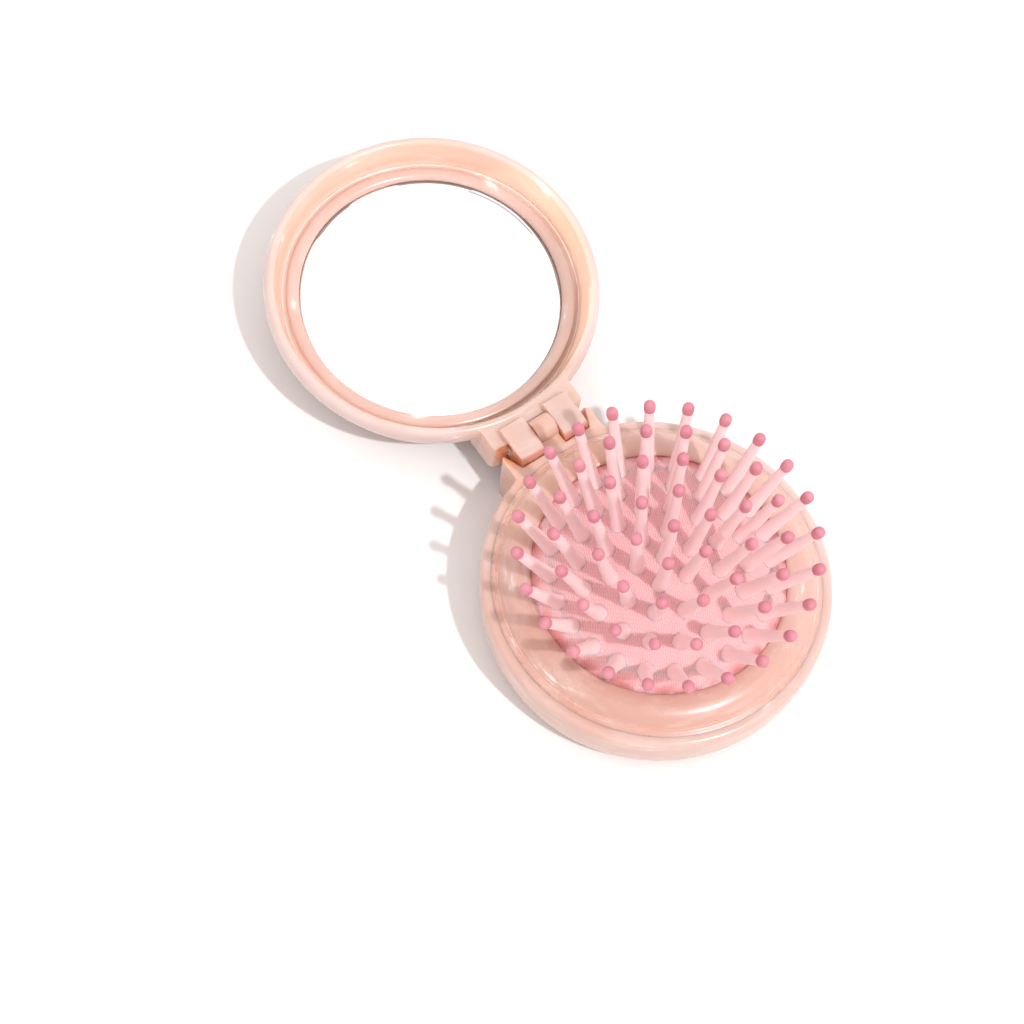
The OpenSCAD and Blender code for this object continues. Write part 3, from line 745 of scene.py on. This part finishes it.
def cushion_material(look):
    """Soft pink rubber with a cloth print, with painted shade between the ribs and in patches at its edge."""
    material, tree, shader = new_material(
        "ribbed rubber", Subsurface_Weight=1.0, Subsurface_Radius=(1.0, 0.15, 0.12), Subsurface_Scale=1.6 * MM,
        IOR=1.45, Sheen_Weight=0.15, Sheen_Roughness=0.5)
    shader.subsurface_method = "BURLEY"
    rib, = place_group(tree, ribbed_cloth_group(), Turn=look.rib_turn, Rib_pitch=look.rib_pitch,
                       Row_pitch=look.row_pitch)
    rough, grain, _ = place_group(
        tree, fine_grain_group(), Grain_size=0.12 * MM, Roughness=0.62, Unevenness=0.12)
    # Painted shade between the ribs
    colour = mix(ramp(rib, *Fade.RIB), look.groove, look.colour)
    radius, _, _ = place_group(tree, ring_place_group(), Middle=BASE_MIDDLE, Tilt=0.0)
    # Painted shade in patches at the edge, under the bezel and where the pins cast shade
    edge = ramp(radius, *(look.radius + change for change in Fade.SEAM))
    edge = times(edge, ramp(noise(tree, 260.0), *Fade.PATCH))
    colour = mix(edge, colour, look.seam)
    finish_surface(shader, colour, rough, plus(rib, times(grain, 0.15)), 0.07 * MM)
    return material


def shaft_material(look):
    """Soft translucent plastic of the shafts."""
    material, tree, shader = new_material(
        "pin shafts", Subsurface_Weight=1.0, Subsurface_Radius=(1.0, 0.9, 0.9), Subsurface_Scale=2.0 * MM,
        IOR=1.47)
    shader.subsurface_method = "BURLEY"
    out = vector_of("DISTANCE", place_of(tree), (BASE_MIDDLE.x, BASE_MIDDLE.y, -look.fan_depth))
    rough, height, smudge = place_group(
        tree, fine_grain_group(), Grain_size=0.3 * MM, Roughness=0.42, Unevenness=0.15)
    # Painted light: the roots are paler, lifting them out of the shade among the pins
    shade = ramp(out, *(look.reach + change for change in Fade.ROOT))
    shaft = mix(shade, look.root, look.shaft)
    shaft = mix(times(smudge, 0.12), shaft, (1, 0.8, 0.8))
    finish_surface(shader, shaft, rough, height, 0.006 * MM)
    return material


def tip_material(look):
    """Matt coloured plastic of the ball tips."""
    material, tree, shader = new_material(
        "pin tips", Subsurface_Weight=0.1, Subsurface_Radius=(1.0, 0.5, 0.5), Subsurface_Scale=0.3 * MM,
        IOR=1.45)
    rough, height, smudge = place_group(
        tree, fine_grain_group(), Grain_size=0.25 * MM, Roughness=0.5, Unevenness=0.2)
    pale = [part * more for part, more in zip(look.tip, (1.15, 1.35, 1.3))]
    colour = mix(ramp(smudge, *Fade.TIP_SMUDGE), look.tip, pale)
    finish_surface(shader, colour, rough, height, 0.015 * MM)
    return material


def mirror_material(look):
    """Silver that ends in a dark line, partly painted shade, which grows on one side to grey bands of painted
    shade and reflection and a strip of painted reflection on the bevel.
    """
    material, tree, shader = new_material("silvered glass", IOR=1.5)
    radius, _, turn = place_group(tree, ring_place_group(), Middle=GLASS_MIDDLE, Tilt=LID_TILT)
    uneven = noise(tree, 130.0)
    width = times(arc(turn, *Arc.MIRROR_LINE), look.line)
    # The bands of painted shade and reflection grow unevenly, by 0.6 to 1.4 of their growth
    for *window, growth in MIRROR_BANDS:
        band = times(arc(turn, *window), growth * MM)
        width = plus(width, times(band, plus(times(uneven, 0.8), 0.6)))
    width = times(width, minus(1.0, arc(turn, *Arc.MIRROR_GAP)))
    inner = minus(look.radius, width)
    # The dark line: partly the silver's end, partly painted shade at the glass's edge
    edge = times(ramp(minus(radius, inner), *Fade.LINE), ramp(width, *Fade.LINE_WIDTH))
    # Painted reflection of the ring on the bevel
    strip = math_of("ABSOLUTE", minus(radius, look.radius - look.bevel))
    strip = times(ramp(strip, *Fade.STRIP), arc(turn, *Arc.MIRROR_STRIP))
    colour = mix(times(strip, Share.STRIP), look.silver, look.strip)
    dark = mix(uneven, look.edge, look.edge_warm)
    dust = times(ramp(noise(tree, 900.0, 4.0), *Fade.DUST), 0.02)
    fill(shader, {
        "Base Color": mix(edge, colour, dark), "Metallic": minus(1.0, times(edge, 0.8)),
        "Roughness": plus(dust, times(edge, 0.3))})
    return material


def steel_material(look):
    """Steel with fine scratches round it, warmed by the plastic that it lies in as a painted reflection."""
    material, tree, shader = new_material("hinge steel", Metallic=1.0, IOR=2.0)
    lines = vector_of("MULTIPLY", place_of(tree), (400, 9000, 9000))
    scratch = noise(tree, 1.0, 3.0, lines)
    colour = mix(scratch, look.low, look.high)
    finish_surface(shader, colour, plus(0.18, times(scratch, 0.2)), scratch, 0.01 * MM)
    return material


def foam_material():
    """Grey foam of the tape behind the mirror."""
    material, tree, shader = new_material("foam tape")
    rough, height, _ = place_group(
        tree, fine_grain_group(), Grain_size=0.25 * MM, Roughness=0.85, Unevenness=0.1)
    finish_surface(shader, mix(height, (0.30, 0.30, 0.30), (0.62, 0.61, 0.60)), rough, height, 0.08 * MM)
    return material


def dress(node, *materials):
    """Gives a carried-over node its materials."""
    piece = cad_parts[node]
    piece.data.materials.clear()
    for material in materials:
        piece.data.materials.append(material)
    return piece


def add_object(name, data):
    """Adds an object to the scene."""
    made = bpy.data.objects.new(name, data)
    bpy.context.scene.collection.objects.link(made)
    return made


def smooth(piece):
    """Shades a carried-over node as a smooth moulding."""
    piece.modifiers.new("smooth moulding", "NODES").node_group = smooth_by_angle_group()


# ---------- pieces ----------


class Step:
    """What the steps have in common."""

    bl_options = {"REGISTER", "UNDO"}


class HAIRBRUSH_OT_shells(Step, Operator):
    """Finish the base, bezel, lid, mirror ring and finger button in marbled plastic"""

    bl_idname = "hairbrush.shells"
    bl_label = "Shells"

    def execute(self, context):
        settings = context.scene.hairbrush.shell
        base_plastic = base_material(settings)
        finishes = {
            "base_shell": base_plastic,
            "push_button": base_plastic,
            "pad_bezel": bezel_material(settings),
            "lid_shell": lid_material(settings),
            "mirror_tray": ring_material(settings),
        }
        for node, material in finishes.items():
            smooth(dress(node, material))
        return {"FINISHED"}


def circle_of(radius, count):
    """Points round a circle."""
    turns = (2 * math.pi * i / count for i in range(count))
    return [Vector((radius * math.cos(turn), radius * math.sin(turn))) for turn in turns]


def hole_points(tilt, turn, ball, ball_z, fan_depth, radius):
    """The curve where a pin's round hole meets the cushion's ball, seen from above."""
    along = Vector((math.sin(tilt) * math.cos(turn), math.sin(tilt) * math.sin(turn), math.cos(tilt)))
    side = Vector((-math.sin(turn), math.cos(turn), 0))
    up = along.cross(side)
    points = []
    for i in range(HOLE_STEPS):
        angle = 2 * math.pi * i / HOLE_STEPS
        start = Vector((0, 0, -fan_depth)) + radius * (math.cos(angle) * side + math.sin(angle) * up)
        to_ball = start - Vector((0, 0, ball_z))
        half = to_ball.dot(along)
        reach = -half + math.sqrt(half * half - to_ball.length_squared + ball ** 2)
        points.append((start + reach * along).to_2d())
    return points


def is_inside(point, outline):
    """Whether a point lies inside a closed outline without hollows."""
    lefts = [(b - a).cross(point - a) > 0 for a, b in zip(outline, outline[1:] + outline[:1])]
    return all(lefts) or not any(lefts)


class HAIRBRUSH_OT_cushion(Step, Operator):
    """Make the domed rubber cushion with a hole for each pin"""

    bl_idname = "hairbrush.cushion"
    bl_label = "Cushion"

    rings: IntProperty(name="Rings", description="Rings of pins round the middle one", default=4, min=1)
    per_ring: IntProperty(
        name="Pins per ring", description="Pins in the first ring, and how many more each next ring has",
        default=6, min=3)
    turn: angle_prop("Turn", "Turn of the pattern of pins", 45.6)
    margin: length_prop("Margin", "Distance of the outer pins from the edge", 3.49)
    hole: length_prop("Hole radius", "Radius of each pin's hole", 1.61)
    collar_width: length_prop("Collar width", "Width of the rubber that rises round each pin", 0.3)

    def execute(self, context):
        settings, pins = context.scene.hairbrush.cushion, context.scene.hairbrush.pins
        low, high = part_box("cushion")
        edge_z = high.z - settings.rise
        ball = (settings.radius ** 2 + settings.rise ** 2) / (2 * settings.rise)
        ball_z = high.z - ball
        foot = settings.radius - self.margin
        step = math.atan2(foot, ball_z + math.sqrt(ball ** 2 - foot ** 2) + pins.fan_depth) / self.rings
        holes = self.find_holes(step, ball, ball_z, pins.fan_depth)
        verts, middles = self.draw_flat(settings.radius + SKIRT, holes)
        material = cushion_material(settings)
        # The two shells meet at the outer ring of pins
        parts = (
            ("cushion_middle", lambda r: r <= foot, settings.thickness, *MIDDLE_BLEND),
            ("cushion_edge", lambda r: r > foot, EDGE_THICKNESS, edge_z, edge_z + EDGE_BLEND_HEIGHT),
        )
        for name, belongs, thickness, start_z, end_z in parts:
            chosen = [t for t, p in middles.items() if belongs(p.length)]
            drawing, normals = self.raise_dome(verts, chosen, holes, ball, ball_z, thickness, settings.collar)
            if name == "cushion_edge":
                self.add_flange(drawing, low.z, settings)
            piece = self.finish_mesh(drawing, name, material, normals)
            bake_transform(piece)
        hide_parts("cushion")
        return {"FINISHED"}

    def find_holes(self, step, ball, ball_z, fan_depth):
        """The middle, greatest radius and outline of each pin's hole, seen from above."""
        holes = []
        for ring in range(self.rings + 1):
            count = max(1, ring * self.per_ring)
            for i in range(count):
                angle = self.turn + 2 * math.pi * i / count
                outline = hole_points(ring * step, angle, ball, ball_z, fan_depth, self.hole)
                middle = sum(outline, Vector((0, 0))) / len(outline)
                holes.append((middle, max((p - middle).length for p in outline), outline))
        return holes

    def draw_flat(self, skirt, holes):
        """The dome seen from above: its points, and its triangles outside the holes with their middles."""
        points, edges = [], []

        def loop(outline):
            first, count = len(points), len(outline)
            points.extend(outline)
            edges.extend((first + i, first + (i + 1) % count) for i in range(count))

        loop(circle_of(skirt, SKIRT_STEPS))
        for middle, _, outline in holes:
            loop(outline)
            wide = 1 + self.collar_width / self.hole
            points.extend(middle + (p - middle) * wide for p in outline)
        clear = self.collar_width + HOLE_CLEARANCE
        radius = SPACING
        while radius < skirt - SKIRT:
            for p in circle_of(radius, max(6, round(2 * math.pi * radius / SPACING))):
                if all((p - middle).length > size + clear for middle, size, _ in holes):
                    points.append(p)
            radius += SPACING
        # Triangles outside the skirt are left out, and points nearer than 1e-7 are joined
        verts, _, tris, _, _, _ = delaunay_2d_cdt(points, edges, [], 1, 1e-7)
        middles = {t: sum((verts[i] for i in t), Vector((0, 0))) / 3 for t in map(tuple, tris)}
        return verts, {t: p for t, p in middles.items() if not any(
            (p - middle).length < size and is_inside(p, outline) for middle, size, outline in holes)}

    def raise_dome(self, verts, chosen, holes, ball, ball_z, thickness, collar):
        """A closed shell over the chosen triangles: its drawing, and the normals of its dome's corners."""
        ball_middle = Vector((0, 0, ball_z))
        share = (ball - thickness) / ball
        drawing = bmesh.new()
        top, under, normals = {}, {}, {}
        for i in (i for t in chosen for i in t if i not in top):
            x, y = verts[i]
            out = Vector((x, y, math.sqrt(ball ** 2 - x * x - y * y)))
            rise, lean = self.collar_at(verts[i], holes)
            top[i] = drawing.verts.new(out * ((ball + collar * rise) / ball) + ball_middle)
            under[i] = drawing.verts.new(out * share + ball_middle)
            normals[top[i]] = (out.normalized() + lean).normalized()
            normals[under[i]] = -out.normalized()
        used = {}
        for a, b, c in chosen:
            if (verts[b] - verts[a]).cross(verts[c] - verts[a]) < 0:
                b, c = c, b
            drawing.faces.new((top[a], top[b], top[c]))
            drawing.faces.new((under[c], under[b], under[a]))
            used.update(dict.fromkeys(((a, b), (b, c), (c, a))))
        # Walls stand where a side belongs to one triangle only
        for a, b in used:
            if (b, a) not in used:
                drawing.faces.new((top[b], top[a], under[a], under[b]))
        return drawing, normals

    def collar_at(self, point, holes):
        """How much of the collar's rise a point has, and how its surface leans away from the pin."""
        for middle, size, _ in holes:
            away = point - middle
            past = away.length - size
            if past < self.collar_width + RING_EDGE:
                rise, lean = AT_HOLE if past < HOLE_EDGE else AT_RING
                return rise, (away.normalized() * lean).to_3d()
        return 0.0, Vector((0, 0, 0))

    def add_flange(self, drawing, flange_z, settings):
        """The flange that the bezel holds: a ring below the dome's edge, turned from its outline."""
        out, inner = settings.radius + FLANGE, settings.radius - SKIRT
        neck = settings.radius + SKIRT - NECK_INSET
        top_z = flange_z + settings.thickness
        outline = [(inner, flange_z), (out, flange_z), (out, top_z), (neck, top_z),
                   (neck, top_z + NECK_RISE), (inner, top_z + NECK_TOP)]
        rings = []
        for i in range(FLANGE_STEPS):
            turn = 2 * math.pi * i / FLANGE_STEPS
            rings.append([drawing.verts.new((r * math.cos(turn), r * math.sin(turn), z)) for r, z in outline])
        for now, after in zip(rings, rings[1:] + rings[:1]):
            for j in range(len(outline)):
                k = (j + 1) % len(outline)
                drawing.faces.new((now[j], after[j], after[k], now[k]))

    def finish_mesh(self, drawing, name, material, normals):
        """Turns a drawing into an object in place; the dome takes the given normals, the rest its faces'."""
        mesh = bpy.data.meshes.new(name)
        drawing.normal_update()
        corners = []
        for face in drawing.faces:
            for vert in face.verts:
                normal = normals.get(vert)
                corners.append(normal if normal and face.normal.dot(normal) > 0.7 else face.normal.copy())
            face.smooth = True
        drawing.to_mesh(mesh)
        drawing.free()
        mesh.normals_split_custom_set(corners)
        mesh.transform(Matrix.Translation((BASE_MIDDLE.x, BASE_MIDDLE.y, 0)))
        mesh.materials.append(material)
        return add_object(name, mesh)


class HAIRBRUSH_OT_pins(Step, Operator):
    """Finish the pins, their heads and the plate that carries the middle ones"""

    bl_idname = "hairbrush.pins"
    bl_label = "Pins"

    def execute(self, context):
        settings = context.scene.hairbrush.pins
        shaft, tip = shaft_material(settings), tip_material(settings)
        found = [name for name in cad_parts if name.startswith("pins_") or name == "pin_hub"]
        if len(found) < 2:
            raise RuntimeError("the frame has no pins")
        for name in found:
            piece = dress(name, shaft, tip)
            smooth(piece)
            piece.modifiers.new("coloured tips", "NODES").node_group = tip_finish_group(settings)
        return {"FINISHED"}


class HAIRBRUSH_OT_mirror(Step, Operator):
    """Finish the mirror glass and the foam tape behind it"""

    bl_idname = "hairbrush.mirror"
    bl_label = "Mirror"

    def execute(self, context):
        dress("mirror_glass", mirror_material(context.scene.hairbrush.mirror))
        dress("mirror_adhesive", foam_material())
        return {"FINISHED"}


class HAIRBRUSH_OT_metal(Step, Operator):
    """Finish the hinge pin and the button's screw"""

    bl_idname = "hairbrush.metal"
    bl_label = "Metal"

    def execute(self, context):
        steel = steel_material(context.scene.hairbrush.metal)
        for node in ("hinge_pin", "button_screw"):
            dress(node, steel)
        return {"FINISHED"}


# ---------- stage ----------


class HAIRBRUSH_OT_stage(Step, Operator):
    """Set the pale floor, the sun, the even light and the camera"""

    bl_idname = "hairbrush.stage"
    bl_label = "Stage"

    def execute(self, context):
        scene, settings = context.scene, context.scene.hairbrush.stage
        self.lay_floor(settings)
        self.light(scene, settings)

        camera = bpy.data.cameras.new("camera")
        camera.sensor_width = 36
        camera.lens = settings.lens
        camera.clip_start, camera.clip_end = 0.05, 20
        camera_object = add_object("camera", camera)
        place = Matrix.Translation(CAMERA_PLACE)
        for degrees, axis in CAMERA_TURNS:
            place = place @ Matrix.Rotation(math.radians(degrees), 4, axis)
        camera_object.matrix_world = place
        scene.camera = camera_object
        scene.view_settings.view_transform = "Standard"
        scene.view_settings.look = "None"
        return {"FINISHED"}

    def lay_floor(self, settings):
        """A wide pale floor with a faint grain."""
        drawing = bmesh.new()
        bmesh.ops.create_grid(drawing, x_segments=8, y_segments=8, size=3.0)
        mesh = bpy.data.meshes.new("floor")
        drawing.to_mesh(mesh)
        drawing.free()
        material, tree, shader = new_material("pale floor", Roughness=0.9, Specular_IOR_Level=0.1)
        grain = times(noise(tree, 30.0), 0.04)
        fill(shader, {"Base Color": mix(grain, settings.floor, (0.9, 0.9, 0.9))})
        mesh.materials.append(material)
        floor = add_object("floor", mesh)

    def light(self, scene, settings):
        """Even light all round, and a small sun."""
        world = bpy.data.worlds.new("even light")
        scene.world = world
        world.use_nodes = True
        fill(world.node_tree.nodes["Background"],
             {"Color": (*settings.sky_colour, 1), "Strength": settings.sky})

        sun = bpy.data.lights.new("sun", "SUN")
        sun.energy = settings.sun_strength
        sun.color = settings.sun_colour
        sun.angle = settings.sun_width
        sun_object = add_object("sun", sun)
        flat = math.cos(settings.sun_elevation)
        travel = Vector((math.cos(settings.sun_azimuth) * flat, math.sin(settings.sun_azimuth) * flat,
                         -math.sin(settings.sun_elevation)))
        sun_object.rotation_euler = travel.to_track_quat("-Z", "Y").to_euler()


# ---------- panel and registration ----------


class HAIRBRUSH_PT_panel(Panel):
    """Lists the steps that finish the hairbrush"""

    bl_idname = "HAIRBRUSH_PT_panel"
    bl_label = "Hairbrush"
    bl_space_type = "VIEW_3D"
    bl_region_type = "UI"
    bl_category = "Hairbrush"

    def draw(self, context):
        for step in STEPS:
            self.layout.operator(step.bl_idname)
        for part in ("shell", "cushion", "pins", "mirror", "metal", "stage"):
            box = self.layout.box()
            box.label(text=part.capitalize())
            group = getattr(context.scene.hairbrush, part)
            for name in group.__annotations__:
                box.prop(group, name)


STEPS = (
    HAIRBRUSH_OT_shells,
    HAIRBRUSH_OT_cushion,
    HAIRBRUSH_OT_pins,
    HAIRBRUSH_OT_mirror,
    HAIRBRUSH_OT_metal,
    HAIRBRUSH_OT_stage,
)
CLASSES = (ShellSettings, CushionSettings, PinSettings, MirrorSettings, MetalSettings, StageSettings,
           HairbrushSettings, *STEPS, HAIRBRUSH_PT_panel)


def register():
    """Registers the classes and hangs the settings on the scene."""
    for cls in CLASSES:
        bpy.utils.register_class(cls)
    bpy.types.Scene.hairbrush = PointerProperty(type=HairbrushSettings)


def unregister():
    """Takes the settings off the scene and the classes out again."""
    del bpy.types.Scene.hairbrush
    for cls in reversed(CLASSES):
        bpy.utils.unregister_class(cls)


def main():
    """Makes the hairbrush step by step."""
    register()
    bpy.ops.hairbrush.shells()
    bpy.ops.hairbrush.cushion()
    bpy.ops.hairbrush.pins()
    bpy.ops.hairbrush.mirror()
    bpy.ops.hairbrush.metal()
    bpy.ops.hairbrush.stage()
    bpy.context.view_layer.update()


if __name__ == "__main__":
    main()
